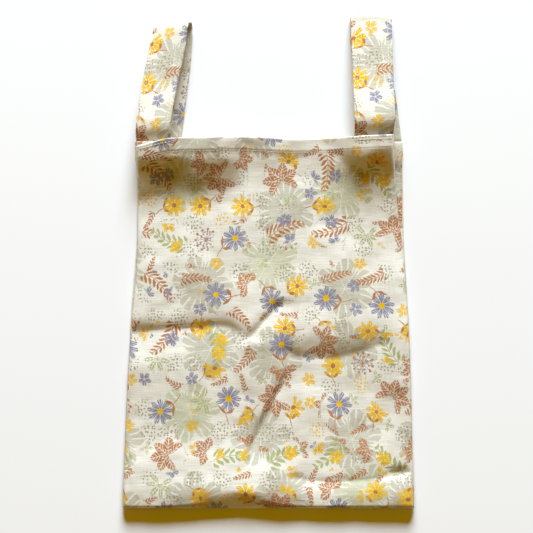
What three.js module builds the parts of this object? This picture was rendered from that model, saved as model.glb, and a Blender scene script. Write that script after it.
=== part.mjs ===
// A cloth bento bag with two strap loops, lying flat on its back panel.
// X runs across the bag, Y from the bottom seam towards the handles, Z up out of the front panel.
// The origin is the middle of the back panel's underside, and lengths are in millimetres.
import * as THREE from "three";

// Panels
const panelHeight = 300;
const bottomWidth = 236.5;
const mouthWidth = 211;
const mouthSkew = 4; // the front's mouth lies this far to the left of the middle, the back's to the right
const cloth = 0.6;

// The front panel swells above its straight run from seam to hem, with rolled edges and a fold across it
const swell = 6.6;
const bottomRoll = 10;
const sideRoll = 6;
const rollSteps = 3;
const foldHeight = 137; // at the middle of the panel, from the bottom seam
const foldSlant = 20; // its left end lies this much higher than its right end
const foldDepth = 2.6;
const foldFall = 26; // the cloth above it falls towards it over this length
const foldRise = 5; // and it rises again below it over this one

// Turned hems and the bottom seam
const hemDepth = 11;
const hemLayers = 2;
const hemInset = 0.8;
const seamDepth = 8;
const seamLayers = 2;
const seamInset = 3;

// Side gussets, each folded inwards along a crease that runs from the bottom corner to the mouth
const gussetDepth = 53;
const gussetLift = 6; // the halves start this far above the bottom seam's binding
const creaseTrim = 0.8;
const creaseGap = 1.4; // between the two halves where the crease meets the hem

// Handles, each one folded strap that rises from the front hem and comes down to the back hem
const strapWidth = 31;
const strapThickness = 1.6;
const strapInset = 1;
const strapTuck = 10;
const handleRise = 102;
const loopGap = 4.8;
const leftCrestShift = 18;
const rightCrestShift = -3;
const crestOpening = THREE.MathUtils.degToRad(50); // arc left free for the strap to unfold
const frontFootGap = 0.9; // lets the front leg turn on its hem as the mouth opens

// Sewing thread
const threadWidth = 0.5;
const threadHeight = 0.4;
const hemStitchInset = 1.5;
const tackInset = 2.5;
const edgeStitchInset = 3.2;
const edgeStitchEnd = 3;

// Room between two layers that touch
const seat = 0.3;

// Heights worked out from the layers
const hemThickness = hemLayers * cloth;
const seamThickness = seamLayers * cloth;
const innerFloor = cloth + seat;
const hingeHeight = innerFloor + seamThickness + seat / 2;
const frontUnderside = seat / 2;
const rearStrapTop = innerFloor + strapThickness;
const mouthUnderside = rearStrapTop + loopGap + strapThickness + seat;
const wedge = Math.asin((mouthUnderside - hingeHeight - frontUnderside) / panelHeight);
const gussetTop = panelHeight - hemDepth - seat;
const gussetFoot = seamDepth + 2 * seat + threadWidth + gussetLift;

// The crest is where a strap turns over; it is placed from the mouth and from the top face of the rear leg.
const crestRadius = loopGap / 2;
const crestY = handleRise - crestRadius - strapThickness;

const printedCotton = new THREE.MeshStandardMaterial({ color: 0xede8d9, roughness: 0.92, metalness: 0 });
const strapCotton = new THREE.MeshStandardMaterial({ color: 0xf0ebdd, roughness: 0.9, metalness: 0 });
const creamThread = new THREE.MeshStandardMaterial({ color: 0xe9e2cc, roughness: 0.75, metalness: 0 });

const sides = [
  { name: "left", sign: -1, crestShift: leftCrestShift },
  { name: "right", sign: 1, crestShift: rightCrestShift },
];
const skew = { front: -mouthSkew, rear: mouthSkew };

// Turns a shape drawn in (Y, Z) and extruded along its third axis into one extruded along X.
const alongX = new THREE.Matrix4().makeBasis(
  new THREE.Vector3(0, 1, 0),
  new THREE.Vector3(0, 0, 1),
  new THREE.Vector3(1, 0, 0),
);
// Turns a shape drawn in (X, Z) and extruded along its third axis into one extruded along -Y.
const alongMinusY = new THREE.Matrix4().makeBasis(
  new THREE.Vector3(1, 0, 0),
  new THREE.Vector3(0, 0, 1),
  new THREE.Vector3(0, -1, 0),
);

function piece(name, geometry, material) {
  const mesh = new THREE.Mesh(geometry, material);
  mesh.name = name;
  return mesh;
}

function extruded(shape, depth) {
  return new THREE.ExtrudeGeometry(shape, { depth, bevelEnabled: false, curveSegments: 10 });
}

function polygon(points) {
  return new THREE.Shape(points.map(([x, y]) => new THREE.Vector2(x, y)));
}

// A box given by its lowest and highest corners.
function block([x0, y0, z0], [x1, y1, z1]) {
  const middle = [(x0 + x1) / 2, (y0 + y1) / 2, (z0 + z1) / 2];
  return new THREE.BoxGeometry(x1 - x0, y1 - y0, z1 - z0).translate(...middle);
}

// Where a panel's side edge lies at height y on the panel.
function edgeX(sign, panel, y) {
  const mouthX = (sign * mouthWidth) / 2 + skew[panel];
  return THREE.MathUtils.lerp((sign * bottomWidth) / 2, mouthX, y / panelHeight);
}

// The middle of a strap where it leaves the mouth.
function strapBase(side, panel) {
  return edgeX(side.sign, panel, panelHeight) - side.sign * (strapInset + strapWidth / 2);
}

// The edge of a strap that faces the middle of the mouth.
function strapInnerEdge(side, panel) {
  return strapBase(side, panel) - (side.sign * strapWidth) / 2;
}

// The back panel lies flat.
function flatPanel() {
  const corners = [
    [edgeX(-1, "rear", 0), 0],
    [edgeX(1, "rear", 0), 0],
    [edgeX(1, "rear", panelHeight), panelHeight],
    [edgeX(-1, "rear", panelHeight), panelHeight],
  ];
  return extruded(polygon(corners), cloth);
}

// Steps of a rolled edge: how far in from the edge each one lies, and its share of the full height.
function rolledEdge(radius) {
  const steps = [];
  for (let step = 0; step <= rollSteps; step++) {
    const turn = ((step / rollSteps) * Math.PI) / 2;
    steps.push({ inset: radius * (1 - Math.cos(turn)), rise: Math.sin(turn) });
  }
  return steps;
}

// The front panel over its own slanting plane.
function swelledPanel() {
  const hemStart = panelHeight - hemDepth;
  const roll = rolledEdge(sideRoll);
  const columns = [
    ...roll.map((step) => ({ sign: -1, ...step })),
    ...roll.toReversed().map((step) => ({ sign: 1, ...step })),
  ];
  const rows = [
    ...rolledEdge(bottomRoll).map(({ inset, rise }) => ({ middle: inset, slant: 0, rise, drop: 0 })),
    { middle: foldHeight - foldRise, slant: foldSlant, rise: 1, drop: 0 },
    { middle: foldHeight, slant: foldSlant, rise: 1, drop: foldDepth },
    { middle: foldHeight + foldFall, slant: foldSlant, rise: 1, drop: 0 },
    { middle: hemStart, slant: 0, rise: 1, drop: 0 },
    { middle: panelHeight, slant: 0, rise: 1, drop: 0 },
  ];
  const grid = rows.map((row) =>
    columns.map(({ sign, inset, rise }) => {
      const y = row.middle - (sign * row.slant) / 2;
      const level = Math.max(swell * (1 - y / hemStart), 0);
      return [edgeX(sign, "front", y) - sign * inset, y, rise * row.rise * (level - row.drop)];
    }),
  );
  return gridSheet(grid);
}

// A closed sheet of cloth from rows of points on its underside.
function gridSheet(grid) {
  const across = grid[0].length;
  const lower = grid.flat();
  const up = lower.length; // from a vertex of the lower face to the one above it
  const points = [...lower, ...lower.map(([x, y, z]) => [x, y, z + cloth])];
  const faces = [];
  for (let row = 1; row < grid.length; row++) {
    for (let column = 1; column < across; column++) {
      const [d, c] = [row * across + column - 1, row * across + column];
      const [a, b] = [d - across, c - across];
      faces.push(a, c, b, a, d, c);
      faces.push(a + up, b + up, c + up, a + up, c + up, d + up);
    }
  }
  const last = (grid.length - 1) * across;
  const rim = [];
  for (let column = 0; column < across - 1; column++) rim.push(column);
  for (let row = 0; row < grid.length - 1; row++) rim.push(row * across + across - 1);
  for (let column = across - 1; column > 0; column--) rim.push(last + column);
  for (let row = grid.length - 1; row > 0; row--) rim.push(row * across);
  rim.forEach((start, i) => {
    const end = rim[(i + 1) % rim.length];
    faces.push(start, end, end + up, start, end + up, start + up);
  });
  const sheet = new THREE.BufferGeometry();
  sheet.setAttribute("position", new THREE.Float32BufferAttribute(points.flat(), 3));
  sheet.setIndex(faces);
  return sheet;
}

// The turned hem lies on the panel's inner face and steps over the two strap ends.
// inward is 1 where the inside of the bag is above the panel, and -1 where it is below.
function turnedHem(panel, innerFace, inward) {
  const [left, right] = sides;
  const low = innerFace + inward * seat;
  const high = low + inward * (strapThickness + seat);
  const turn = inward * hemThickness;
  const start = edgeX(-1, panel, panelHeight) + hemInset;
  const end = edgeX(1, panel, panelHeight) - hemInset;
  const stepDown = strapInnerEdge(left, panel) + seat;
  const stepUp = strapInnerEdge(right, panel) - seat;
  const outline = polygon([
    [start, high],
    [stepDown, high],
    [stepDown, low],
    [stepUp, low],
    [stepUp, high],
    [end, high],
    [end, high + turn],
    [stepUp - hemThickness, high + turn],
    [stepUp - hemThickness, low + turn],
    [stepDown + hemThickness, low + turn],
    [stepDown + hemThickness, high + turn],
    [start, high + turn],
  ]);
  return extruded(outline, hemDepth).applyMatrix4(alongMinusY).translate(0, panelHeight, 0);
}

// The end of a strap, tucked between a panel and its hem.
function strapEnd(side, panel, underside) {
  const middle = strapBase(side, panel);
  return block(
    [middle - strapWidth / 2, panelHeight - strapTuck, underside],
    [middle + strapWidth / 2, panelHeight, underside + strapThickness],
  );
}

// A straight row of stitches along X.
function stitchRow(x0, x1, y, z) {
  return block([x0, y - threadWidth / 2, z], [x1, y + threadWidth / 2, z + threadHeight]);
}

function tackRow(side, panel, z) {
  const middle = strapBase(side, panel);
  const reach = strapWidth / 2 - hemInset;
  return stitchRow(middle - reach, middle + reach, panelHeight - tackInset, z);
}

// Half a gusset: one side is sewn to the panel's edge, the other is the crease.
function gussetHalf(side, panel, underside) {
  const footX = edgeX(side.sign, panel, 0);
  const seam = new THREE.Vector2(edgeX(side.sign, panel, panelHeight) - footX, panelHeight);
  const along = seam.clone().normalize();
  const inwards = new THREE.Vector2(-side.sign * along.y, side.sign * along.x);
  const creaseX = side.sign * (mouthWidth / 2 - gussetDepth);
  const crease = new THREE.Vector2(creaseX - footX, gussetTop);
  const width = crease.dot(inwards) - creaseTrim;
  const creaseLength = crease.dot(along);
  const seamLength = gussetTop / along.y;
  const outline = polygon([
    [0, gussetFoot],
    [0, seamLength],
    [-side.sign * width, creaseLength],
    [(-side.sign * width * gussetFoot) / creaseLength, gussetFoot],
  ]);
  const geometry = extruded(outline, cloth).translate(0, 0, underside);
  const slant = -Math.atan2(seam.x, seam.y);
  const fold = Math.asin((gussetHeight() - cloth) / width);
  return { geometry, slant, fold };
}

// The room that one gusset half has to rise in at the mouth.
function gussetHeight() {
  const space = hingeHeight + frontUnderside + gussetTop * Math.sin(wedge) - cloth;
  return (space - creaseGap) / 2 - seat;
}

function gussetGroup(name, side, panel, height, underside, turn) {
  const { geometry, slant, fold } = gussetHalf(side, panel, underside);
  const seam = new THREE.Group();
  seam.position.set(edgeX(side.sign, panel, 0), 0, height);
  seam.rotation.z = slant;
  const half = piece(name, geometry, printedCotton);
  half.rotation.y = turn * side.sign * fold;
  return seam.add(half);
}

// One leg of a handle from its (Y, Z) profile, leaning sideways as it leaves the mouth.
function strapLeg(profile, width, lean) {
  return extruded(profile, width)
    .applyMatrix4(alongX)
    .translate(-width / 2, 0, 0)
    .applyMatrix4(new THREE.Matrix4().makeShear(0, 0, lean, 0, 0, 0));
}

function rectangle(y0, z0, y1, z1) {
  return polygon([
    [y0, z0],
    [y1, z0],
    [y1, z1],
    [y0, z1],
  ]);
}

// The rear leg lies flat and ends in the round crest.
function rearLegProfile() {
  const end = Math.PI / 2 - crestOpening;
  const outer = crestRadius + strapThickness;
  const profile = new THREE.Shape();
  profile.moveTo(seat, -strapThickness);
  profile.lineTo(crestY, -strapThickness);
  profile.absarc(crestY, crestRadius, outer, -Math.PI / 2, end, false);
  profile.lineTo(crestY + crestRadius * Math.cos(end), crestRadius + crestRadius * Math.sin(end));
  profile.absarc(crestY, crestRadius, crestRadius, end, -Math.PI / 2, true);
  profile.lineTo(seat, 0);
  return profile;
}

// A handle's two legs with the stitching along both edges of each.
function handle(side) {
  const loop = new THREE.Group();
  loop.position.set(0, panelHeight, rearStrapTop);
  const crestX = strapBase(side, "front") + side.crestShift;
  const legs = [
    {
      panel: "rear",
      foot: seat,
      profile: rearLegProfile(),
      face: -strapThickness - seat - threadHeight,
    },
    {
      panel: "front",
      foot: frontFootGap,
      profile: rectangle(frontFootGap, loopGap, crestY, loopGap + strapThickness),
      face: loopGap + strapThickness + seat,
    },
  ];
  for (const { panel, foot, profile, face } of legs) {
    const base = strapBase(side, panel);
    const lean = (crestX - base) / handleRise;
    const leg = new THREE.Group();
    leg.position.x = base;
    leg.add(piece(`${side.name}_${panel}_strap_leg`, strapLeg(profile, strapWidth, lean), strapCotton));
    for (const edge of sides) {
      const row = rectangle(foot + edgeStitchEnd, face, crestY - edgeStitchEnd, face + threadHeight);
      const geometry = strapLeg(row, threadWidth, lean);
      geometry.translate(edge.sign * (strapWidth / 2 - edgeStitchInset), 0, 0);
      leg.add(piece(`${side.name}_${panel}_strap_${edge.name}_thread`, geometry, creamThread));
    }
    loop.add(leg);
  }
  return loop;
}

function backPanel() {
  const back = new THREE.Group();
  const [left, right] = sides;
  const hemFace = innerFloor + hemThickness + seat;
  const hemLine = panelHeight - hemDepth + hemStitchInset;
  const clear = hemThickness + 2 * seat;
  const tackFace = rearStrapTop + seat + hemThickness + seat;
  back.add(piece("back_panel", flatPanel(), printedCotton));
  back.add(piece("back_hem", turnedHem("rear", cloth, 1), printedCotton));
  const rowStart = strapInnerEdge(left, "rear") + clear;
  const rowEnd = strapInnerEdge(right, "rear") - clear;
  back.add(piece("back_hem_thread", stitchRow(rowStart, rowEnd, hemLine, hemFace), creamThread));
  for (const side of sides) {
    back.add(piece(`${side.name}_rear_strap_end`, strapEnd(side, "rear", innerFloor), strapCotton));
    back.add(piece(`${side.name}_rear_tack_thread`, tackRow(side, "rear", tackFace), creamThread));
  }
  return back;
}

// The seam allowance inside the bottom edge, with the thread that binds its raw edge.
function bottomSeam() {
  const seam = new THREE.Group();
  const reach = bottomWidth / 2 - seamInset;
  const bound = seamDepth + seat;
  const top = innerFloor + seamThickness;
  const allowance = block([-reach, seat, innerFloor], [reach, seamDepth, top]);
  const binding = block([-reach, bound, innerFloor], [reach, bound + threadWidth, top]);
  seam.add(piece("bottom_seam_allowance", allowance, printedCotton));
  seam.add(piece("bottom_seam_thread", binding, creamThread));
  return seam;
}

// The front panel turns about the bottom seam, so its pieces are placed from there.
function frontPanel() {
  const front = new THREE.Group();
  front.position.z = hingeHeight;
  front.rotation.x = wedge;
  const outerFace = frontUnderside + cloth + seat;
  const hemLine = panelHeight - hemDepth + hemStitchInset;
  const strapUnderside = frontUnderside - seat - strapThickness;
  const rowStart = edgeX(-1, "front", panelHeight) + hemInset;
  const rowEnd = edgeX(1, "front", panelHeight) - hemInset;
  front.add(piece("front_panel", swelledPanel().translate(0, 0, frontUnderside), printedCotton));
  front.add(piece("front_hem", turnedHem("front", frontUnderside, -1), printedCotton));
  front.add(piece("front_hem_thread", stitchRow(rowStart, rowEnd, hemLine, outerFace), creamThread));
  for (const side of sides) {
    front.add(piece(`${side.name}_front_strap_end`, strapEnd(side, "front", strapUnderside), strapCotton));
    front.add(piece(`${side.name}_front_tack_thread`, tackRow(side, "front", outerFace), creamThread));
    const name = `${side.name}_front_gusset`;
    front.add(gussetGroup(name, side, "front", frontUnderside - seat, -cloth, -1));
  }
  return front;
}

const bag = new THREE.Group();
bag.position.y = -panelHeight / 2;
bag.add(backPanel(), bottomSeam(), frontPanel());
for (const side of sides) {
  bag.add(gussetGroup(`${side.name}_rear_gusset`, side, "rear", innerFloor, 0, 1));
  bag.add(handle(side));
}

export default bag;
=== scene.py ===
"""A printed cloth bento bag lying flat on a white table, seen from straight above.

Lengths are drawn in millimetres in the part's own frame and become metres where a mesh is made.
"""

import math
from collections import namedtuple

import bpy
import numpy as np
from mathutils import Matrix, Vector, noise


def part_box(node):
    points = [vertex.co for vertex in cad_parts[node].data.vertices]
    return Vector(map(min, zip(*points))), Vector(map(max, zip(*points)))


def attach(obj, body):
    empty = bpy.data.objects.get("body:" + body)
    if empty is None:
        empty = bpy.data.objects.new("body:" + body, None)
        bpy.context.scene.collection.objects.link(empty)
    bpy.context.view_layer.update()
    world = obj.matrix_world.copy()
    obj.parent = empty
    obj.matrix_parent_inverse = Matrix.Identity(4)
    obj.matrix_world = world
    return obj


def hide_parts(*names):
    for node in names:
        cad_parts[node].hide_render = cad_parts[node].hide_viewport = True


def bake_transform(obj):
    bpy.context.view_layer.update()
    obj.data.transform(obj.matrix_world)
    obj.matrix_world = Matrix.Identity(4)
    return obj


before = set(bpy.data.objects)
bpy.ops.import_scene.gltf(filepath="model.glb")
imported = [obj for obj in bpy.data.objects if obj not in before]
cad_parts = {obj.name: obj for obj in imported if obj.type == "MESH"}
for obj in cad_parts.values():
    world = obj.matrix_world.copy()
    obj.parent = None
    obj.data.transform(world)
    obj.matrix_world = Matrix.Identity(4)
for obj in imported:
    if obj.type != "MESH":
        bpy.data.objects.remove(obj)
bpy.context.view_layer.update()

MM = 0.001

# Cloth, straps and thread
CLOTH = 0.6
TURN = 0.75  # radius of a turned edge
HEM_DEPTH = 11.6
HEM_STITCH = 10.3  # from the mouth's edge down to the hem's row of stitches
TACK_STITCH = 2.4  # the same to the row that holds a strap's end
SEAM_ALLOWANCE = 8.0
SEAM_STITCH = 5.5
STRAP_WIDTH = 31.0
STRAP_THICKNESS = 1.6
STRAP_TUCK = 11.0  # how far a strap's end goes in under its hem
EDGE_STITCH_INSET = 3.2
SEWN_AT = 1 - 2 * EDGE_STITCH_INSET / STRAP_WIDTH  # the edge rows' place across a strap, whose edge is at 1
GROOVE = 0.35  # share of a strap's thickness that its stitches draw in
STITCH_PITCH = 2.7
STITCH_LENGTH = 2.0
THREAD_RADIUS = 0.24
THREAD_RISE = 0.1  # of a stitch's middle above the cloth

# Where the panels, hems and strap legs lie
SEAM_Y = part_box("front_panel")[0].y / MM
MOUTH_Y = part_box("back_panel")[1].y / MM
BOTTOM_HALF = 118.0
BACK_TOP = 0.75
BACK_HEM_TOP = 1.9
SEAM_UNDERSIDE = 1.15
SEAM_TOP = 2.0
REAR_END_HEIGHT = 2.9  # of a strap's middle layer on the back hem
FRONT_HEM_ROW = (-106, 100)
BACK_HEM_ROW = (-100, 108)
TACK_INSET = 1.5

# Side gussets
GUSSET_START = 14.0  # above the bottom seam
GUSSET_END = 1.0  # below the mouth
GUSSET_INSET = 0.5  # inside the panel's side edge
CREASE_X = 51.1  # the crease's place at the mouth, from the middle
GUSSET_PLACE = {"front": (0.9, 0.58), "rear": (0.04, 0.42)}  # height in the room inside, at edge and crease
STRAP_END_LIFT = 2.4  # of the rear half over a strap's end

# Side edges as (y, x) from the bottom seam to the mouth, as the bag was laid down
FRONT_LEFT = [
    (-150, -119.4), (-100, -117.6), (-45, -115.2), (8, -111.6), (46, -108.2), (100, -107), (156, -109),
]
FRONT_RIGHT = [(-150, 119.6), (-80, 117.6), (-25, 116), (27, 113.2), (62, 110.2), (100, 105.4), (156, 102.2)]
REAR_LEFT = [(-150, -118.6), (-45, -114.8), (8, -112.4), (46, -109.6), (100, -104.6), (150, -101.5)]
REAR_RIGHT = [(-150, 118.8), (-25, 116.2), (27, 113.6), (62, 111.4), (110, 110.4), (150, 109.8)]

# The front's mouth as (x, y)
FRONT_MOUTH = [
    (-110, 144.3), (-97, 147.7), (-84, 151), (-72, 152), (-58, 152.3), (-20, 153.3), (20, 151.5), (50, 152.2),
    (74, 153.4), (104, 154.8),
]

# Height of the front panel along its length and at its side edges, as (y, z)
LEVEL = [
    (-150, 8), (-138, 8.1), (-118, 7.3), (-100, 6), (-60, 6), (-30, 7.4), (-8, 8), (20, 6.3), (60, 4.8),
    (100, 3.5), (156, 3.4),
]
SIDE_EDGE = [(-150, 2.1), (60, 2.6), (105, 3), (130, 6.5), (156, 8.9)]
SIDE_ROLL = 4.0  # radius of the roll at a side edge
BOTTOM_ROLL = 3.5
THINNEST = BACK_TOP + 3 * CLOTH + 0.3  # the back, both layers of a gusset and the front

# The front's rise at the hem, as (distance below the mouth, rise), at places across
LEFT_EDGE_HEM = [
    (0, 15.2), (6, 14.3), (11, 13.6), (13, 13), (15, 11.6), (18, 9.6), (22, 7.8), (29, 5), (36, 2.1),
    (41, 0.4), (46, -0.5), (54, -0.4), (64, 0),
]
LEFT_STRAP_HEM = [
    (0, 15.4), (2, 14.9), (6, 14.3), (11, 13.7), (14, 13), (16, 11.8), (20, 9.2), (26, 5.8), (32, 2.6),
    (38, 0.4), (44, -0.5), (53, -0.3), (64, 0),
]
BESIDE_STRAP_HEM = [
    (0, 11.6), (6, 11.2), (12, 10.8), (17, 10.2), (20, 9.3), (26, 6.8), (32, 4.3), (38, 1.9), (44, 0.1),
    (50, -0.5), (66, 0),
]
CENTRE_HEM = [(0, 2.6), (6, 2), (11, 1.7), (16, 1), (22, 0.4), (30, 0), (40, 0)]
RIGHT_STRAP_HEM = [
    (0, 15.8), (2, 15.4), (6, 14.9), (12, 14.3), (14, 13.7), (19, 10.9), (25, 7.6), (31, 4.6), (37, 2.7),
    (43, 1.7), (53, 1), (72, -0.2), (90, -0.5), (115, 0),
]
HEMS = [
    (-106, LEFT_EDGE_HEM),
    (-82, LEFT_STRAP_HEM),
    (-60, BESIDE_STRAP_HEM),
    (-40, BESIDE_STRAP_HEM),
    (-14, CENTRE_HEM),
    (46, CENTRE_HEM),
    (80, RIGHT_STRAP_HEM),
]

# Lines of the front's folds, as (x, y) where they run across and as (y, x) where they run down
LEFT_VALLEY = [(-132, -8), (-112, -5.5), (-56, -1.6), (-36, -1), (-14, -9)]
RIGHT_VALLEY = [(2, -18), (22, -24), (50, -27), (88, -17), (108, -10)]
BOTTOM_FOLD = [(8, -123), (50, -128), (96, -124), (126, -118)]
MIDDLE_FOLD = [(-18, -22), (-8, -14), (2, -5), (12, 4), (24, 16)]
SLANTING_CREASE = [(-128, -20.5), (-92, -11), (-70, -1), (-54, 7), (-28, 20)]
UPPER_CREASE = [(40, -7), (70, -8), (110, -9)]

# Swells of the front, as (height, x, reach before and after x, y, reach before and after y)
SWELLS = [
    (1.5, -92, (34, 34), -32, (24, 14)),  # below the left valley
    (-1.8, 107, (8, 9), -120, (4, 4)),  # a dent near the right end of the bottom's roll
    (2.4, -24, (30, 26), -133, (9, 34)),  # a fuller place left of the roll's middle
]
CRUMPLES = [(1.0, 46, 3.1), (0.75, 21, 8.4), (0.34, 9, 5.7)]  # all over the front, as (depth, size, seed)

# Each strap's two edges from its front foot over the crest to its rear foot
LEFT_STRAP = (
    [
        (-107.6, 148, 11), (-107.8, 153, 12.6), (-107.9, 158, 14.4), (-107.4, 165, 15.2), (-105.6, 178, 13.8),
        (-102.1, 200, 11), (-98.1, 222, 8.8), (-95, 236, 7.2), (-93.5, 243.6, 5.6), (-93, 245, 3.6),
        (-92.4, 243.2, 2), (-92, 236, 1.7), (-94.4, 210, 1.7), (-98, 175, 1.7), (-100.5, 151, 1.9),
    ],
    [
        (-79.2, 151, 13), (-79.4, 155, 14.4), (-79.6, 160, 16), (-79.2, 166, 16.4), (-77.4, 178, 14.6),
        (-73, 200, 11.6), (-68.6, 222, 9.8), (-66.4, 236, 9.2), (-65.5, 243.6, 8.9), (-64.1, 247, 7.6),
        (-62.7, 247.4, 5.2), (-62, 244.6, 3), (-62.2, 237, 2), (-63.9, 214, 1.7), (-68, 180, 1.7),
        (-71.8, 151, 1.9),
    ],
)
RIGHT_STRAP = (
    [
        (69.8, 152.5, 11.4), (70, 157, 13.8), (70.2, 162, 16.4), (70.2, 167, 17.6), (70.1, 173, 17.3),
        (69.6, 184, 15.4), (68.8, 205, 11.8), (67.8, 230, 8.4), (67.2, 246, 6.4), (67, 252, 5),
        (66.9, 253.6, 3.4), (66.9, 252, 1.9), (66.8, 244, 1.7), (69, 215, 1.7), (74, 180, 1.7),
        (77.5, 151, 1.9),
    ],
    [
        (101.2, 154, 11.6), (101.9, 158.5, 14), (102.7, 163.5, 16.6), (103, 168.5, 17.8), (103, 174, 17.5),
        (102.6, 185, 15.6), (101.8, 206, 12), (101.2, 230, 8.8), (100.8, 245, 6.8), (100.6, 252.6, 5.2),
        (100.4, 254.4, 3.4), (100, 252.6, 1.9), (99.6, 244, 1.7), (101, 215, 1.7), (105.5, 180, 1.7),
        (109.2, 151, 1.9),
    ],
)
LEFT_CREST_BOW = 1.0  # how far the middle of a crest stands beyond its ends
RIGHT_CREST_BOW = 4.5
STRAP_PUCKER = 0.5
STRAP_STEPS = 190

# Weave and print
WEAVE_PITCH = 0.55
WEFT_SLUB = 17.0  # length of a slub, a thick place in a thread
WARP_SLUB = 9.0
SLUB_WIDTH = 0.7
WEFT_SHARE = 0.72  # of the unevenness that shows
THIN_TINT = "#EBE8E0"  # of the thin places over the cloth's colour
WAVER_SIZE = 6.25  # of the print's unsteady outlines
WAVER_REACH = 3.0
WORN_SIZE = 2.0  # of the places where ink took less
PLY_PITCH = 0.7
STRAP_CUT_AT = 300.0  # where across the printed cloth the straps were cut
INKS = {
    "stone": "#C9C6B2",
    "earth": "#A8A086",
    "sage": "#B4BA80",
    "lavender": "#908EA7",
    "mustard": "#F5C500",
    "terracotta": "#BF7D45",
}
MIX_SHARE, MIX_UNDER, MIX_OVER, MIXED = 0, 6, 7, 2  # sockets of a Mix node for colours


# Shapes of lines, folds and crumples
def smooth(t):
    t = np.clip(t, 0, 1)
    return t * t * (3 - 2 * t)


def along(path, at):
    """A smooth line through (place, value) pairs, read at the given places."""
    places, values = np.array(path, float).T
    slopes = np.gradient(values, places)
    i = np.clip(np.searchsorted(places, at) - 1, 0, len(places) - 2)
    step = places[i + 1] - places[i]
    t = np.clip((at - places[i]) / step, 0, 1)
    rise = (1 + 2 * t) * (1 - t) ** 2 * values[i] + t * t * (3 - 2 * t) * values[i + 1]
    return rise + step * (t * (1 - t) ** 2 * slopes[i] - t * t * (1 - t) * slopes[i + 1])


def bell(d, before, after):
    """One at d = 0, falling to nothing over a width that differs on the two sides."""
    return np.exp(-((d / np.where(d < 0, before, after)) ** 2))


def fold_line(run, off, path, depth, far, near, fade):
    """A fold along the line off = path(run): its side beyond the line falls over far, the other over near."""
    d = off - along(path, run)
    ends = smooth((run - path[0][0]) / fade) * smooth((path[-1][0] - run) / fade)
    return -depth * ends * np.exp(-np.abs(d) / np.where(d > 0, far, near))


def crumple(x, y, size, seed):
    """Smooth random hollows and bumps of about the given size, between -1 and 1."""
    points = np.stack([x / size, y / size, np.full_like(x, seed)], -1).reshape(-1, 3)
    return np.array([noise.noise(p) for p in points]).reshape(x.shape)


def rolled(distance, radius, power=2.3):
    """From nothing at an edge to one at the top of its roll."""
    q = 1 - np.clip(distance / radius, 0, 1)
    return (1 - q ** power) ** (1 / power)


def spaced(count, crowding):
    """Places from 0 to 1, closer together at both ends."""
    s = np.linspace(0, 1, count)
    return s - crowding * np.sin(2 * math.pi * s) / (2 * math.pi)


# Height of the front panel
def hem_step(below):
    """A hem is one cloth thicker, and its stitches draw it in."""
    return CLOTH * smooth((HEM_DEPTH + 1 - below) / 2.5) - 0.5 * bell(below - HEM_STITCH, 0.9, 0.9)


def hem_wave(x, y):
    """Below the mouth the cloth stands up over the strap ends and drops behind them."""
    below = along(FRONT_MOUTH, x) - y
    drift = below + 3 * crumple(x, y, size=17, seed=2.9) * smooth(below / 12)
    wave = along(HEMS[0][1], drift)
    for (start, _), (end, profile) in zip(HEMS, HEMS[1:]):
        share = smooth((x - start) / (end - start))
        wave += (along(profile, drift) - wave) * share
    # The hem puckers left of its middle.
    pucker = 1 + crumple(x, y, size=7, seed=3.3)
    wave += 0.8 * bell(x + 20, 13, 14) * smooth(1 - below / HEM_DEPTH) * pucker
    return wave + hem_step(below)


def front_lift(x, y):
    """How high the front panel's outer face lies where it isn't rolled under at an edge."""
    z = along(LEVEL, y) + hem_wave(x, y)
    # The bag was put away folded across the middle, and the folds stayed.
    z += fold_line(x, y, LEFT_VALLEY, depth=5.2, far=7.5, near=38, fade=18)
    z += fold_line(x, y, RIGHT_VALLEY, depth=4.4, far=12, near=40, fade=22)
    z += fold_line(y, x, MIDDLE_FOLD, depth=2.8, far=13, near=5, fade=9)
    z += fold_line(y, x, SLANTING_CREASE, depth=3, far=14, near=2.2, fade=30)
    z += fold_line(y, x, UPPER_CREASE, depth=0.8, far=3, near=4, fade=18)
    # A roll runs along the bottom, below a shallow fold.
    z += fold_line(x, y, BOTTOM_FOLD, depth=2.2, far=8, near=12, fade=20)
    z += 0.8 * bell(y + 138, 8, 12)
    for height, at_x, reach_x, at_y, reach_y in SWELLS:
        z += height * bell(x - at_x, *reach_x) * bell(y - at_y, *reach_y)
    for depth, size, seed in CRUMPLES:
        z += depth * crumple(x, y, size, seed)
    return np.maximum(z, THINNEST)


def front_height(x, y):
    """The front panel's outer face, rolled under at both side edges and at the bottom."""
    edge = along(SIDE_EDGE, y)
    side = np.minimum(x - along(FRONT_LEFT, y), along(FRONT_RIGHT, y) - x)
    # Left of its middle the bottom falls away in a wider roll.
    bottom_roll = BOTTOM_ROLL * (1 + 4 * bell(x + 24, 28, 24))
    up = rolled(side, SIDE_ROLL) * rolled(y - SEAM_Y, bottom_roll)
    return edge + (front_lift(x, y) - edge) * up


# Making pieces
def link(name, data):
    made = bpy.data.objects.new(name, data)
    bpy.context.scene.collection.objects.link(made)
    return made


def add_node(tree, kind, inputs=(), **settings):
    """A node with the given settings and inputs, where an input is a value or another node's output."""
    node = tree.nodes.new(kind)
    for name, value in settings.items():
        setattr(node, name, value)
    for name, value in dict(inputs).items():
        if isinstance(value, bpy.types.NodeSocket):
            tree.links.new(value, node.inputs[name])
        else:
            node.inputs[name].default_value = value
    return node


def apply_modifiers(piece):
    """Replaces the piece's mesh by what its modifiers make of it."""
    shown = piece.evaluated_get(bpy.context.evaluated_depsgraph_get())
    made = bpy.data.meshes.new_from_object(shown)
    made.name = piece.name
    piece.modifiers.clear()
    piece.data = made
    return piece


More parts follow.
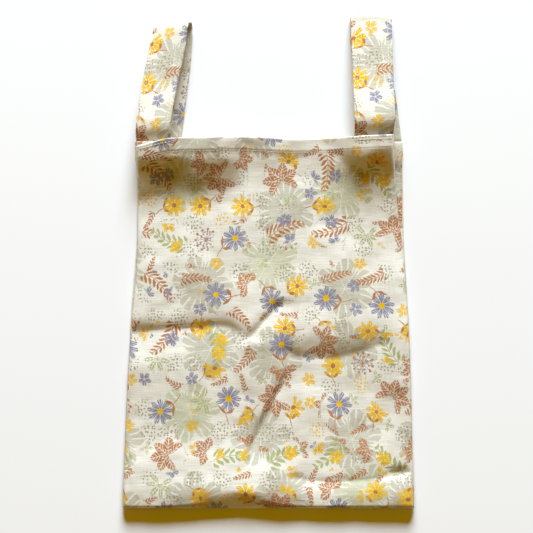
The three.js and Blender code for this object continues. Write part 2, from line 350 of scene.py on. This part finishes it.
def mesh_piece(name, points, faces, flat, *materials):
    """A smooth mesh of points in millimetres, with flat cloth coordinates in metres as its UV map."""
    mesh = bpy.data.meshes.new(name)
    mesh.from_pydata((points.reshape(-1, 3) * MM).tolist(), [], faces)
    corners = np.empty(len(mesh.loops), int)
    mesh.loops.foreach_get("vertex_index", corners)
    mesh.uv_layers.new(name="cloth").data.foreach_set("uv", flat.reshape(-1, 2)[corners].ravel())
    mesh.polygons.foreach_set("use_smooth", np.ones(len(mesh.polygons), bool))
    for material in materials:
        mesh.materials.append(material)
    return link(name, mesh)


def quads(index):
    """Faces between neighbouring rows and columns of vertex numbers."""
    corners = [index[:-1, :-1], index[:-1, 1:], index[1:, 1:], index[1:, :-1]]
    return np.stack(corners, -1).reshape(-1, 4).tolist()


def run_along(points, axis):
    """Distance travelled from the first of a line of points to each of them."""
    first = np.take(points, [0], axis)
    return np.cumsum(np.linalg.norm(np.diff(points, axis=axis, prepend=first), axis=-1), axis=axis)


def flat_map(points):
    """Flat cloth coordinates in metres, measured along the rows and columns of a sheet's points."""
    middle = points.shape[1] // 2
    across = run_along(points, 1)
    across += points[:, middle:middle + 1, 0] - across[:, middle:middle + 1]
    return np.stack([across, run_along(points, 0)], -1) * MM


def sheet_piece(name, points):
    """One layer of cloth with its printed face where the given points are, and its wrong side under that."""
    index = np.arange(points.shape[0] * points.shape[1]).reshape(points.shape[:2])
    piece = mesh_piece(name, points, quads(index), flat_map(points), printed_cotton, wrong_side)
    thickness = piece.modifiers.new("Cloth thickness", "SOLIDIFY")
    thickness.thickness = CLOTH * MM
    thickness.offset = -1
    thickness.material_offset = 1
    return apply_modifiers(piece)


def hemmed(panel, side):
    """A panel's rows with the last edge turned over, up or down for a side of 1 or -1, and run back."""
    edge = panel[-1]
    angle = np.linspace(0.5, 2.6, 5)[:, None, None]  # radians round the turned edge
    turned = edge + TURN * np.concatenate([0 * angle, np.sin(angle), side * (1 - np.cos(angle))], -1)
    middle = panel.shape[1] // 2
    rows = np.count_nonzero(panel[:, middle, 1] > edge[middle, 1] - HEM_DEPTH)
    inner = panel[::-1][:rows] + np.array([0, 0, 2 * side * TURN])
    return np.concatenate([panel, turned, inner])


# Panels, gussets and bottom seam
def between(left, right, y, columns):
    """Points' x from a left to a right edge line, for rows at y."""
    u = spaced(columns, 0.45)[None, :]
    return along(left, y) * (1 - u) + along(right, y) * u


def front_cloth():
    rows, columns = 206, 200
    top = between(FRONT_LEFT, FRONT_RIGHT, np.full((1, columns), MOUTH_Y), columns)
    y = SEAM_Y + spaced(rows, 0.4)[:, None] * (along(FRONT_MOUTH, top) - SEAM_Y)
    x = between(FRONT_LEFT, FRONT_RIGHT, y, columns)
    return sheet_piece("front_cloth", hemmed(np.stack([x, y, front_height(x, y)], -1), -1))


def back_cloth():
    """The back panel lies on the table, printed face down, and turns up a little at its edges."""
    rows, columns = 120, 90
    y = SEAM_Y + spaced(rows, 0.4)[:, None] * (MOUTH_Y - SEAM_Y) * np.ones((1, columns))
    x = between(REAR_RIGHT, REAR_LEFT, y, columns)
    inset = np.minimum(np.minimum(x - along(REAR_LEFT, y), along(REAR_RIGHT, y) - x), y - SEAM_Y)
    turned_up = 0.9 * (1 - rolled(inset, SIDE_ROLL))
    z = 0.1 + turned_up + 0.12 * (1 + crumple(x, y, size=30, seed=1.7))
    return sheet_piece("back_cloth", hemmed(np.stack([x, y, z], -1), 1))


def gusset_points(side, half):
    """Half of a side gusset: from its panel's side edge to the crease, between the two panels."""
    rows, columns = 90, 18
    if half == "front":
        edge = FRONT_LEFT if side < 0 else FRONT_RIGHT
    else:
        edge = REAR_LEFT if side < 0 else REAR_RIGHT
    y = np.linspace(SEAM_Y + GUSSET_START, MOUTH_Y - GUSSET_END, rows)[:, None] * np.ones((1, columns))
    share = np.linspace(0, 1, columns)[None, :]
    crease = side * (BOTTOM_HALF + (CREASE_X - BOTTOM_HALF) * (y - SEAM_Y) / (MOUTH_Y - SEAM_Y))
    outer = along(edge, y) - side * GUSSET_INSET
    x = outer + share * (crease - outer)
    at_edge, at_crease = GUSSET_PLACE[half]
    room = front_height(x, y) - BACK_TOP - 3 * CLOTH
    z = BACK_TOP + CLOTH + room * (at_edge + (at_crease - at_edge) * share)
    if half == "rear":
        below = MOUTH_Y - y
        over_strap = smooth((2 * HEM_DEPTH - below) / 10)
        z += (STRAP_END_LIFT * over_strap + hem_step(below)) * (1 - share ** 2)
    return np.stack([x, y, z], -1)


def gusset(side, half):
    points = gusset_points(side, half)
    faces_up = half == "rear"
    if (side > 0) == faces_up:
        points = points[:, ::-1]
    name = f"{'left' if side < 0 else 'right'}_{half}_gusset_cloth"
    return sheet_piece(name, hemmed(points, -1 if faces_up else 1))


def bottom_seam():
    """The two seam allowances, side by side inside the bottom seam."""
    upper = [(SEAM_ALLOWANCE, SEAM_TOP), (3, SEAM_TOP), (1.2, SEAM_TOP)]
    bend = (0.7, (SEAM_UNDERSIDE + SEAM_TOP) / 2)
    lower = [(y, SEAM_UNDERSIDE) for y, _ in reversed(upper)]
    x = np.linspace(2 - BOTTOM_HALF, BOTTOM_HALF - 2, 80)
    points = np.array([[(at, SEAM_Y + y, z) for at in x] for y, z in [*upper, bend, *lower]])
    points[..., 2] += 0.1 * crumple(points[..., 0], points[..., 1], size=8, seed=4.2)
    return sheet_piece("bottom_seam", points[:, ::-1])


# Straps
Strap = namedtuple("Strap", "middle half outward pucker bow")


def through(stations, count):
    """Points at even steps along a smooth line through the given stations."""
    stations = np.array(stations, float)
    run = run_along(stations, 0)
    at = np.linspace(0, run[-1], count)
    return np.stack([along(np.stack([run, stations[:, i]], -1), at) for i in range(3)], -1)


def strap_between(edges, count, pucker=0, bow=0):
    """A strap between its two edges: its middle line, half width and outward direction at even steps."""
    left, right = (through(edge, count) for edge in edges)
    middle, half = (left + right) / 2, (right - left) / 2
    outward = np.cross(half, np.gradient(middle, axis=0))
    return Strap(middle, half, outward / np.linalg.norm(outward, axis=1, keepdims=True), pucker, bow)


def strap_points(strap, across, height):
    """Points of a strap at places across it, from -1 to 1, and heights above its middle layer."""
    points = strap.middle[:, None] + strap.half[:, None] * across[None, :, None]
    wave = strap.pucker * crumple(points[..., 0], points[..., 1] + points[..., 2], size=15, seed=6.3)
    crest = bell(np.linspace(-1, 1, len(strap.middle)), 0.12, 0.12)[:, None] * (1 - across ** 2)[None, :]
    points[..., 1] += strap.bow * crest
    return points + strap.outward[:, None] * (wave + height[None, :])[..., None]


def folded_strap(name, strap):
    """A strap of folded cloth: two rounded edges, and a groove along each where it is sewn."""
    v = spaced(41, 0.7) * 2 - 1
    thick = np.sqrt(1 - np.abs(v) ** 24) * (1 - GROOVE * bell(np.abs(v) - SEWN_AT, 0.04, 0.05))
    across = np.concatenate([v, v[-2:0:-1]])
    height = np.concatenate([thick, -thick[-2:0:-1]]) * STRAP_THICKNESS / 2
    points = strap_points(strap, across, height)
    rings, around = points.shape[:2]
    index = np.arange(rings * around).reshape(rings, around)
    closed = np.concatenate([index, index[:, :1]], 1)
    faces = quads(closed) + [index[0, ::-1].tolist(), index[-1].tolist()]
    cut_at = STRAP_CUT_AT + across * STRAP_WIDTH / 2
    flat = np.stack(np.broadcast_arrays(cut_at, run_along(strap.middle, 0)[:, None]), -1) * MM
    return mesh_piece(name, points, faces, flat, printed_cotton)


def strap_end(name, feet, height):
    """The tucked end of a strap: from its two edges' feet on under the hem, to a height there."""
    steps = np.linspace(1, 0, 14)
    overlap = 0.5
    edges = []
    for x, y, z in feet:
        rows = y + overlap - (STRAP_TUCK + overlap) * steps
        inner = height(np.full_like(rows, x), rows)
        edges.append(np.stack([np.full_like(rows, x), rows, z + (inner - z) * smooth(steps)], -1))
    return folded_strap(name, strap_between(edges, len(steps)))


def under_front(x, y):
    """Where a strap's middle layer lies under the front hem."""
    return front_height(x, y) - CLOTH - 2 * TURN - STRAP_THICKNESS / 2


def on_back(x, y):
    """Where a strap's middle layer lies on the back hem."""
    return np.full_like(y, REAR_END_HEIGHT)


# Stitches
def stitch_tree():
    """Nodes that lay thread stitches along guide lines."""
    tree = bpy.data.node_groups.new("Stitch row", "GeometryNodeTree")
    sockets = tree.interface
    sockets.new_socket("Guides", in_out="INPUT", socket_type="NodeSocketGeometry")
    for name in ("Pitch", "Length", "Radius"):
        sockets.new_socket(name, in_out="INPUT", socket_type="NodeSocketFloat")
    sockets.new_socket("Thread", in_out="INPUT", socket_type="NodeSocketMaterial")
    sockets.new_socket("Stitches", in_out="OUTPUT", socket_type="NodeSocketGeometry")
    given = add_node(tree, "NodeGroupInput").outputs
    line = add_node(tree, "GeometryNodeMeshToCurve", {"Mesh": given["Guides"]}).outputs["Curve"]
    steps = add_node(
        tree, "GeometryNodeResampleCurve", {"Curve": line, "Length": given["Pitch"]}, mode="LENGTH"
    ).outputs["Curve"]
    tangent = add_node(tree, "GeometryNodeInputTangent").outputs["Tangent"]
    turned = add_node(tree, "FunctionNodeAlignRotationToVector", {"Vector": tangent}, axis="X")
    bead = add_node(tree, "GeometryNodeMeshUVSphere", {"Segments": 10, "Rings": 8}).outputs["Mesh"]
    sides = {"X": given["Length"], "Y": given["Radius"], "Z": given["Radius"]}
    size = add_node(tree, "ShaderNodeCombineXYZ", sides).outputs["Vector"]
    laid = {"Points": steps, "Instance": bead, "Rotation": turned.outputs["Rotation"], "Scale": size}
    row = add_node(tree, "GeometryNodeInstanceOnPoints", laid).outputs["Instances"]
    real = add_node(tree, "GeometryNodeRealizeInstances", {"Geometry": row}).outputs["Geometry"]
    rounded = add_node(tree, "GeometryNodeSetShadeSmooth", {"Geometry": real}).outputs["Geometry"]
    dyed = {"Geometry": rounded, "Material": given["Thread"]}
    spun = add_node(tree, "GeometryNodeSetMaterial", dyed).outputs["Geometry"]
    add_node(tree, "NodeGroupOutput", {"Stitches": spun})
    return tree


def stitches(name, *guides):
    """Stitches along lines of points, each line on the face of the cloth that it is sewn to."""
    mesh = bpy.data.meshes.new(name)
    points, edges = [], []
    for guide in guides:
        edges += [(len(points) + i, len(points) + i + 1) for i in range(len(guide) - 1)]
        points += (guide * MM).tolist()
    mesh.from_pydata(points, edges, [])
    piece = link(name, mesh)
    rows = piece.modifiers.new("Stitches", "NODES")
    rows.node_group = stitch_row
    sizes = {
        "Pitch": STITCH_PITCH * MM,
        "Length": STITCH_LENGTH / 2 * MM,
        "Radius": THREAD_RADIUS * MM,
        "Thread": cotton_thread,
    }
    for socket in stitch_row.interface.items_tree:
        if socket.name in sizes:
            rows[socket.identifier] = sizes[socket.name]
    return apply_modifiers(piece)


def front_row(start, end, below):
    """A line on the front panel, a given distance below its mouth."""
    x = np.linspace(start, end, 160)
    y = along(FRONT_MOUTH, x) - below
    return np.stack([x, y, front_height(x, y) + THREAD_RISE], -1)


def level_row(start, end, y, z):
    """A straight line across the bag on a face at height z."""
    x = np.linspace(start, end, 120)
    return np.stack([x, np.full_like(x, y), np.full_like(x, z + THREAD_RISE)], -1)


# Materials
def hex_colour(text):
    """An sRGB hex colour as linear RGBA."""
    channels = [int(text[i:i + 2], 16) / 255 for i in (1, 3, 5)]
    return [c / 12.92 if c <= 0.04045 else ((c + 0.055) / 1.055) ** 2.4 for c in channels] + [1]


class Field:
    """A number that varies over the cloth, so that a motif's shape is written as the formula it is."""

    def __init__(self, tree, socket):
        self.tree, self.socket = tree, socket

    def math(self, operation, *others):
        values = [self.socket] + [o.socket if isinstance(o, Field) else o for o in others]
        node = add_node(self.tree, "ShaderNodeMath", enumerate(values), operation=operation)
        return Field(self.tree, node.outputs["Value"])

    def __add__(self, other):
        return self.math("ADD", other)

    def __sub__(self, other):
        return self.math("SUBTRACT", other)

    def __mul__(self, other):
        return self.math("MULTIPLY", other)

    def __truediv__(self, other):
        return self.math("DIVIDE", other)

    def __pow__(self, other):
        return self.math("POWER", other)

    def __abs__(self):
        return self.math("ABSOLUTE")

    def __invert__(self):
        """One where this is nothing, and nothing where this is one."""
        return self * -1 + 1

    def __or__(self, other):
        return self.math("MAXIMUM", other)

    def below(self, edge, soft=0.22):
        """One where this is below the edge, nothing above it, with a soft step between."""
        step = {"Value": (self - edge).socket, "From Min": soft, "From Max": -soft}
        node = add_node(self.tree, "ShaderNodeMapRange", step, interpolation_type="SMOOTHSTEP")
        return Field(self.tree, node.outputs["Result"])


def polar(x, y):
    return (x * x + y * y).math("SQRT"), y.math("ARCTAN2", x)


class Motifs:
    """One scatter of motifs over the cloth: each cell's own x, y, radius, angle and random number."""

    def __init__(self, tree, cloth, cell, jitter, shift, clear=1.0):
        offset = {0: cloth, 1: (shift, shift * 0.37, 0)}
        moved = add_node(tree, "ShaderNodeVectorMath", offset, operation="ADD").outputs["Vector"]
        scatter = {"Vector": moved, "Scale": 1 / cell, "Randomness": jitter}
        cells = add_node(tree, "ShaderNodeTexVoronoi", scatter, voronoi_dimensions="2D").outputs
        middle = {0: moved, 1: cells["Position"]}
        away = add_node(tree, "ShaderNodeVectorMath", middle, operation="SUBTRACT").outputs["Vector"]
        chance = add_node(tree, "ShaderNodeSeparateColor", {"Color": cells["Color"]}).outputs
        turn = {"Vector": away, "Angle": (Field(tree, chance["Red"]) * (2 * math.pi)).socket}
        turned = add_node(tree, "ShaderNodeVectorRotate", turn, rotation_type="Z_AXIS").outputs["Vector"]
        place = add_node(tree, "ShaderNodeSeparateXYZ", {"Vector": turned}).outputs
        self.x, self.y = Field(tree, place["X"]), Field(tree, place["Y"])
        self.r, self.angle = polar(self.x, self.y)
        self.kind = Field(tree, chance["Green"])
        self.clear = clear

    def chosen(self, low, high):
        """One in the cells whose random number lies in a range, clear of larger motifs."""
        return self.kind.math("GREATER_THAN", low) * self.kind.math("LESS_THAN", high) * self.clear

    def blossom(self, petals, size, waist, reach=0.0):
        """A flower seen from above: petals parted by thin lines and streaked towards their tips."""
        r, angle = polar(self.x - reach, self.y) if reach else (self.r, self.angle)
        lobe = abs((angle * (petals / 2)).math("COSINE"))
        rim = (lobe ** 0.55 * (1 - waist) + waist) * size
        part = (lobe * r * (2 / petals)).below(0.2)
        streaks = (angle * (petals * 3.5)).math("SINE").below(-0.72, 0.2) * (r * -1).below(-0.55 * size, 1)
        return r.below(rim) * ~part * ~streaks, r

    def stem(self, start, end):
        """A thin bent stem with one pair of leaves."""
        side = abs(self.y + self.x * self.x * 0.02 - 1.0)
        line = side.below(0.32) * self.x.below(end) * (self.x * -1).below(-start)
        width = (side * (math.pi / 7)).math("SINE") * 1.5
        leaves = abs(self.x - (start + end) / 2 - side * 0.8).below(width) * side.below(7)
        return line | leaves

    def fan(self, leaves, inner, length, width, vein, spread):
        """Veined leaves that stand out from one point, over part of a circle."""
        sector = 2 * math.pi / leaves
        turned = ((self.angle / sector).math("FRACT") - 0.5) * sector
        out = self.r * turned.math("COSINE") - inner
        side = abs(self.r * turned.math("SINE"))
        half = ((out * (math.pi / length)).math("SINE") | 0) ** 0.8 * width
        within = abs(self.angle).below(spread, 0.05)
        leaf = side.below(half) * abs(out - length / 2).below(length / 2) * within
        ribs = ((out - side * 0.9) / vein).math("FRACT")
        lines = side.below(0.28) | abs(ribs - 0.5).below(0.1, 0.06)
        stalk = side.below(0.3) * self.r.below(inner + 1) * within
        return leaf * ~lines | stalk

    def sprig(self, length, reach, pitch):
        """A stem with pairs of slanting leaflets that grow shorter towards its tip."""
        side = abs(self.y + self.x * self.x * 0.012 - 1.5)
        taper = (self.x * (-0.6 / length) + 0.7) * reach
        step = ((self.x - side * 0.9) / pitch).math("FRACT") - 0.5
        belly = ((side / taper * math.pi).math("SINE") | 0) * 0.34
        leaflets = abs(step).below(belly, 0.06) * side.below(taper)
        return (leaflets | side.below(0.3)) * abs(self.x).below(length / 2)

    def seed_head(self, rays, size):
        """Thin rays with a knob at the end of each."""
        ray = abs((self.angle * (rays / 2)).math("SINE")) * self.r * (2 / rays)
        knobs = (abs(self.r - size) | ray).below(0.85)
        return ray.below(0.24) * self.r.below(size) | knobs


def botanical_print(tree, cloth, ground):
    """A generic scatter of blossoms, leaves, sprigs and dots in six inks."""
    shake = {"Vector": cloth, "Scale": 1 / WAVER_SIZE, "Detail": 3.0}
    waver = add_node(tree, "ShaderNodeTexNoise", shake).outputs["Color"]
    centred = {0: waver, 1: (0.5, 0.5, 0.5)}
    offset = add_node(tree, "ShaderNodeVectorMath", centred, operation="SUBTRACT").outputs["Vector"]
    moved = {0: offset, 1: (WAVER_REACH, WAVER_REACH, 0), 2: cloth}
    drawn = add_node(tree, "ShaderNodeVectorMath", moved, operation="MULTIPLY_ADD").outputs["Vector"]
    patches = {"Vector": cloth, "Scale": 1 / WORN_SIZE, "Detail": 3.0}
    taken = Field(tree, add_node(tree, "ShaderNodeTexNoise", patches).outputs["Fac"])
    worn = (taken * 0.9 + 0.5).math("MINIMUM", 1.0)

    broad = Motifs(tree, drawn, cell=62, jitter=0.45, shift=11)
    main = Motifs(tree, drawn, cell=45, jitter=0.38, shift=137)
    past_main = ~main.r.below(14.5, 1.5)
    second = Motifs(tree, drawn, cell=34, jitter=0.4, shift=59, clear=past_main)
    past_both = past_main * ~second.r.below(10, 1.5)
    small = Motifs(tree, drawn, cell=19, jitter=0.5, shift=83, clear=past_both)
    speckle = Motifs(tree, drawn, cell=2.7, jitter=0.6, shift=5).r.below(0.72, 0.2)
    pale, _ = broad.blossom(6, 25, 0.5)
    bud, _ = small.blossom(5, 5.5, 0.35)
    cluster, _ = small.blossom(5, 6.5, 0.3)
    star, from_star = second.blossom(8, 9.5, 0.2, reach=3)
    violet, from_violet = main.blossom(9, 10.5, 0.38, reach=5)

    layers = (
        # Large pale blossoms lie under everything.
        (pale * broad.chosen(0, 0.78), "stone", worn * 0.8),
        (pale * broad.chosen(0.78, 1), "sage", worn * 0.5),
        # Small fillers
        (speckle * small.r.below(8, 2) * small.chosen(0, 0.34), "earth", worn),
        (speckle * small.r.below(7, 2) * small.chosen(0.34, 0.45), "mustard", worn),
        (small.sprig(15, 3.6, 2.8) * small.chosen(0.45, 0.68), "terracotta", worn),
        (bud * small.chosen(0.68, 0.8), "mustard", worn),
        (bud * small.chosen(0.8, 0.9), "lavender", worn),
        (small.fan(5, 0.5, 6, 1.4, 2.4, 2.2) * small.chosen(0.9, 1), "sage", worn),
        # Second scatter
        (second.stem(-13, 0) * second.chosen(0, 0.3), "terracotta", worn),
        (star * second.chosen(0, 0.3), "mustard", 1.0),
        (from_star.below(1.8) * second.chosen(0, 0.3), "terracotta", worn),
        (second.fan(6, 1, 11, 3.4, 2.6, 2.1) * second.chosen(0.3, 0.56), "terracotta", worn),
        (second.seed_head(11, 8.5) * second.chosen(0.56, 0.7), "terracotta", worn),
        (speckle * second.r.below(8, 1) * second.chosen(0.56, 0.7), "lavender", worn),
        (second.sprig(25, 6, 3.4) * second.chosen(0.7, 0.84), "terracotta", worn),
        (second.fan(7, 1, 11, 1.9, 2.6, 2.6) * second.chosen(0.84, 1), "sage", worn),
        # Main scatter
        (main.stem(-16, 0) * main.chosen(0, 0.3), "terracotta", worn),
        (violet * main.chosen(0, 0.3), "lavender", worn),
        (from_violet.below(2.4) * main.chosen(0, 0.3), "mustard", 1.0),
        (main.sprig(30, 9, 5.2) * main.chosen(0.3, 0.52), "sage", worn),
        (cluster * main.r.below(13, 1) * main.chosen(0.3, 0.52), "mustard", 1.0),
        (main.fan(7, 1.5, 13.5, 4, 2.8, 2.4) * main.chosen(0.52, 0.78), "terracotta", worn),
        (main.sprig(31, 8, 4.2) * main.chosen(0.78, 1), "terracotta", worn),
        (cluster * main.r.below(12, 1) * main.chosen(0.78, 1), "lavender", worn),
    )
    colour = ground
    for mask, ink, strength in layers:
        printed = {MIX_SHARE: (mask * strength).socket, MIX_UNDER: colour, MIX_OVER: hex_colour(INKS[ink])}
        colour = add_node(tree, "ShaderNodeMix", printed, data_type="RGBA").outputs[MIXED]
    return colour


def weave(tree, cloth):
    """Bump and slubs of a plain weave, whose threads are finer than this and are drawn coarser to show."""
    place = add_node(tree, "ShaderNodeSeparateXYZ", {"Vector": cloth}).outputs
    rate = 2 * math.pi / WEAVE_PITCH
    across, up = Field(tree, place["X"]) * rate, Field(tree, place["Y"]) * rate
    threads = across.math("SINE") * up.math("SINE")
    uneven = []
    for size in ((WEFT_SLUB, SLUB_WIDTH), (SLUB_WIDTH, WARP_SLUB)):
        drawn_out = {0: cloth, 1: (1 / size[0], 1 / size[1], 1)}
        stretched = add_node(tree, "ShaderNodeVectorMath", drawn_out, operation="MULTIPLY").outputs["Vector"]
        thickness = {"Vector": stretched, "Scale": 1.0, "Detail": 2.0}
        uneven.append(Field(tree, add_node(tree, "ShaderNodeTexNoise", thickness).outputs["Fac"]))
    weft, warp = uneven
    slub = weft * WEFT_SHARE + warp * (1 - WEFT_SHARE)
    relief = {"Height": (threads * 0.25 + slub).socket, "Strength": 0.55, "Distance": 0.35 * MM}
    return add_node(tree, "ShaderNodeBump", relief).outputs["Normal"], slub


def new_material(name):
    """A new material with its node tree and shader."""
    made = bpy.data.materials.new(name)
    made.use_nodes = True
    return made, made.node_tree, made.node_tree.nodes["Principled BSDF"]


def plain_weave(name, ground, print_over=None):
    """Unglazed plain-weave cotton: quite matt, streaked where its threads are thick or thin, print and all,
    with a faint fuzz that catches light from the side."""
    made, tree, shader = new_material(name)
    flat = add_node(tree, "ShaderNodeUVMap", uv_map="cloth").outputs["UV"]
    cloth = add_node(tree, "ShaderNodeVectorMath", {0: flat, 3: 1 / MM}, operation="SCALE").outputs["Vector"]
    normal, slub = weave(tree, cloth)
    dyed = hex_colour(ground)
    if print_over:
        dyed = print_over(tree, cloth, dyed)
    thin = slub.below(0.5, 0.17).socket
    streak = {MIX_SHARE: thin, MIX_UNDER: dyed, MIX_OVER: hex_colour(THIN_TINT)}
    streaked = add_node(tree, "ShaderNodeMix", streak, data_type="RGBA", blend_type="MULTIPLY").outputs[MIXED]
    tree.links.new(streaked, shader.inputs["Base Color"])
    tree.links.new(normal, shader.inputs["Normal"])
    shader.inputs["Roughness"].default_value = 0.95
    shader.inputs["Specular IOR Level"].default_value = 0.15
    shader.inputs["Sheen Weight"].default_value = 0.05
    return made


def twisted_thread():
    """Twisted cotton thread: a little smoother than the cloth, with slanting plies whose grooves are painted
    darker as shade on each stitch.
    The plies are drawn coarser than they are, so that they show."""
    made, tree, shader = new_material("Twisted cotton thread")
    place = add_node(tree, "ShaderNodeTexCoord").outputs["Object"]
    # A wave texture runs through ten radians for each unit of its scale.
    twist = {"Vector": place, "Scale": 2 * math.pi / (10 * PLY_PITCH * MM), "Distortion": 1.5}
    ply = add_node(tree, "ShaderNodeTexWave", twist, bands_direction="DIAGONAL").outputs["Fac"]
    # The darker parts of the ply bands are painted shade in the grooves between the plies; the bump below
    # gives the same bands their relief.
    shade = {MIX_SHARE: ply, MIX_UNDER: hex_colour("#E9E4D2"), MIX_OVER: hex_colour("#F6F3E8")}
    tone = add_node(tree, "ShaderNodeMix", shade, data_type="RGBA").outputs[MIXED]
    relief = {"Height": ply, "Strength": 0.4, "Distance": 0.1 * MM}
    normal = add_node(tree, "ShaderNodeBump", relief).outputs["Normal"]
    tree.links.new(tone, shader.inputs["Base Color"])
    tree.links.new(normal, shader.inputs["Normal"])
    shader.inputs["Roughness"].default_value = 0.7
    return made


def painted_board():
    """Board painted matt white: even and without shine, a trace darker in wide soft clouds."""
    made, tree, shader = new_material("Matt white painted board")
    place = add_node(tree, "ShaderNodeTexCoord").outputs["Object"]
    clouds = {"Vector": place, "Scale": 3.0, "Detail": 3.0}
    cloud = add_node(tree, "ShaderNodeTexNoise", clouds).outputs["Fac"]
    paint = {MIX_SHARE: cloud, MIX_UNDER: hex_colour("#F7F9F9"), MIX_OVER: hex_colour("#FAFBFB")}
    tone = add_node(tree, "ShaderNodeMix", paint, data_type="RGBA").outputs[MIXED]
    tree.links.new(tone, shader.inputs["Base Color"])
    shader.inputs["Roughness"].default_value = 0.9
    shader.inputs["Specular IOR Level"].default_value = 0.1
    return made


# Table, light and camera
def table():
    half = 3
    corners = [(-half, -half, 0), (half, -half, 0), (half, half, 0), (-half, half, 0)]
    mesh = bpy.data.meshes.new("table")
    mesh.from_pydata(corners, [], [(0, 1, 2, 3)])
    mesh.materials.append(painted_board())
    link("table", mesh)


def lights():
    """A low window beyond the mouth, and a warm room around it."""
    key = bpy.data.lights.new("Window", "AREA")
    key.shape = "ELLIPSE"
    key.size = 3.4
    key.size_y = 2.2
    key.energy = 1025
    key.color = (0.775, 0.88, 1.0)
    turn, rise, away = math.radians(2), math.radians(20.5), 6.0
    flat = away * math.cos(rise)
    aim = Vector((0, 0.03, 0))
    window = link("Window", key)
    window.location = aim + Vector((flat * math.sin(turn), flat * math.cos(turn), away * math.sin(rise)))
    window.rotation_mode = "QUATERNION"
    window.rotation_quaternion = (aim - window.location).to_track_quat("-Z", "Y")
    world = bpy.data.worlds.new("Warm room")
    world.use_nodes = True
    background = world.node_tree.nodes["Background"]
    background.inputs["Color"].default_value = (0.24, 0.132, 0, 1)
    background.inputs["Strength"].default_value = 1.0
    bpy.context.scene.world = world


def camera():
    """Straight above, as far up as makes the table's visible part as wide as in the picture."""
    lens = bpy.data.cameras.new("Overhead")
    lens.sensor_width = 36
    lens.lens = 150
    visible = 0.437
    middle_x, middle_y = -0.0015, 0.048
    eye = link("Overhead", lens)
    eye.location = (middle_x, middle_y, visible * lens.lens / lens.sensor_width)
    bpy.context.scene.camera = eye


# Putting the bag together
def put(piece, slot, *nodes, body):
    """The piece stands for the given nodes and rides on a body."""
    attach(piece, body)
    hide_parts(*nodes)
    return piece


def put_across(piece, slot, *nodes, side):
    """For a piece that turns from a handle's rear leg into its front leg at the crest: its placement is baked
    into its mesh, it rides on no body, and it stands for the given nodes.
    """
    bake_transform(piece)
    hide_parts(*nodes)


def put_panels():
    front = put(front_cloth(), "printed_cotton", "front_panel", "front_hem", body="front")
    back = put(back_cloth(), "printed_cotton", "back_panel", "back_hem", body="back")
    seam = put(bottom_seam(), "printed_cotton", "bottom_seam_allowance", body="back")
    row = front_row(*FRONT_HEM_ROW, HEM_STITCH)
    put(stitches("front_hem_stitches", row), "cream_thread", "front_hem_thread", body="front")
    row = level_row(*BACK_HEM_ROW, MOUTH_Y - HEM_STITCH, BACK_HEM_TOP)
    put(stitches("back_hem_stitches", row), "cream_thread", "back_hem_thread", body="back")
    row = level_row(3 - BOTTOM_HALF, BOTTOM_HALF - 3, SEAM_Y + SEAM_STITCH, SEAM_TOP + THREAD_RISE)
    put(stitches("bottom_seam_stitches", row), "cream_thread", "bottom_seam_thread", body="back")


def put_handle(side, edges, bow):
    strap = strap_between(edges, STRAP_STEPS, STRAP_PUCKER, bow)
    legs = [f"{side}_{leg}_strap_leg" for leg in ("front", "rear")]
    put_across(folded_strap(f"{side}_strap", strap), "strap_cotton", *legs, side=side)

    # The edge rows stop short of the strap's ends.
    groove = STRAP_THICKNESS / 2 * (1 - GROOVE) + THREAD_RISE
    rows = strap_points(strap, np.array([-SEWN_AT, SEWN_AT]), np.full(2, groove))[4:-4]
    sewing = stitches(f"{side}_strap_stitches", rows[:, 0], rows[:, 1])
    threads = [f"{side}_{leg}_strap_{edge}_thread" for leg in ("front", "rear") for edge in ("left", "right")]
    put_across(sewing, "cream_thread", *threads, side=side)

    feet = [edge[0] for edge in edges]
    across = feet[0][0] + TACK_INSET, feet[1][0] - TACK_INSET
    end = strap_end(f"{side}_front_end", feet, under_front)
    put(end, "strap_cotton", f"{side}_front_strap_end", body="front")
    tack = stitches(f"{side}_front_tack", front_row(*across, TACK_STITCH))
    put(tack, "cream_thread", f"{side}_front_tack_thread", body="front")

    feet = [edge[-1] for edge in edges]
    across = feet[0][0] + TACK_INSET, feet[1][0] - TACK_INSET
    end = strap_end(f"{side}_rear_end", feet, on_back)
    put(end, "strap_cotton", f"{side}_rear_strap_end", body="back")
    row = level_row(*across, MOUTH_Y - TACK_STITCH, REAR_END_HEIGHT + STRAP_THICKNESS / 2)
    put(stitches(f"{side}_rear_tack", row), "cream_thread", f"{side}_rear_tack_thread", body="back")


def put_gusset(side):
    for half in ("rear", "front"):
        cloth = gusset(-1 if side == "left" else 1, half)
        put(cloth, "printed_cotton", f"{side}_{half}_gusset", body=f"{side}_{half}_gusset_half")


table()
lights()
camera()
printed_cotton = plain_weave("Printed plain-weave cotton", "#F3F1E6", botanical_print)
wrong_side = plain_weave("Unprinted side of the cotton", "#EFE9D8")
cotton_thread = twisted_thread()
stitch_row = stitch_tree()
put_panels()
for side, edges, bow in (("left", LEFT_STRAP, LEFT_CREST_BOW), ("right", RIGHT_STRAP, RIGHT_CREST_BOW)):
    put_handle(side, edges, bow)
    put_gusset(side)

bpy.context.scene.view_settings.view_transform = "Standard"
bpy.context.view_layer.update()
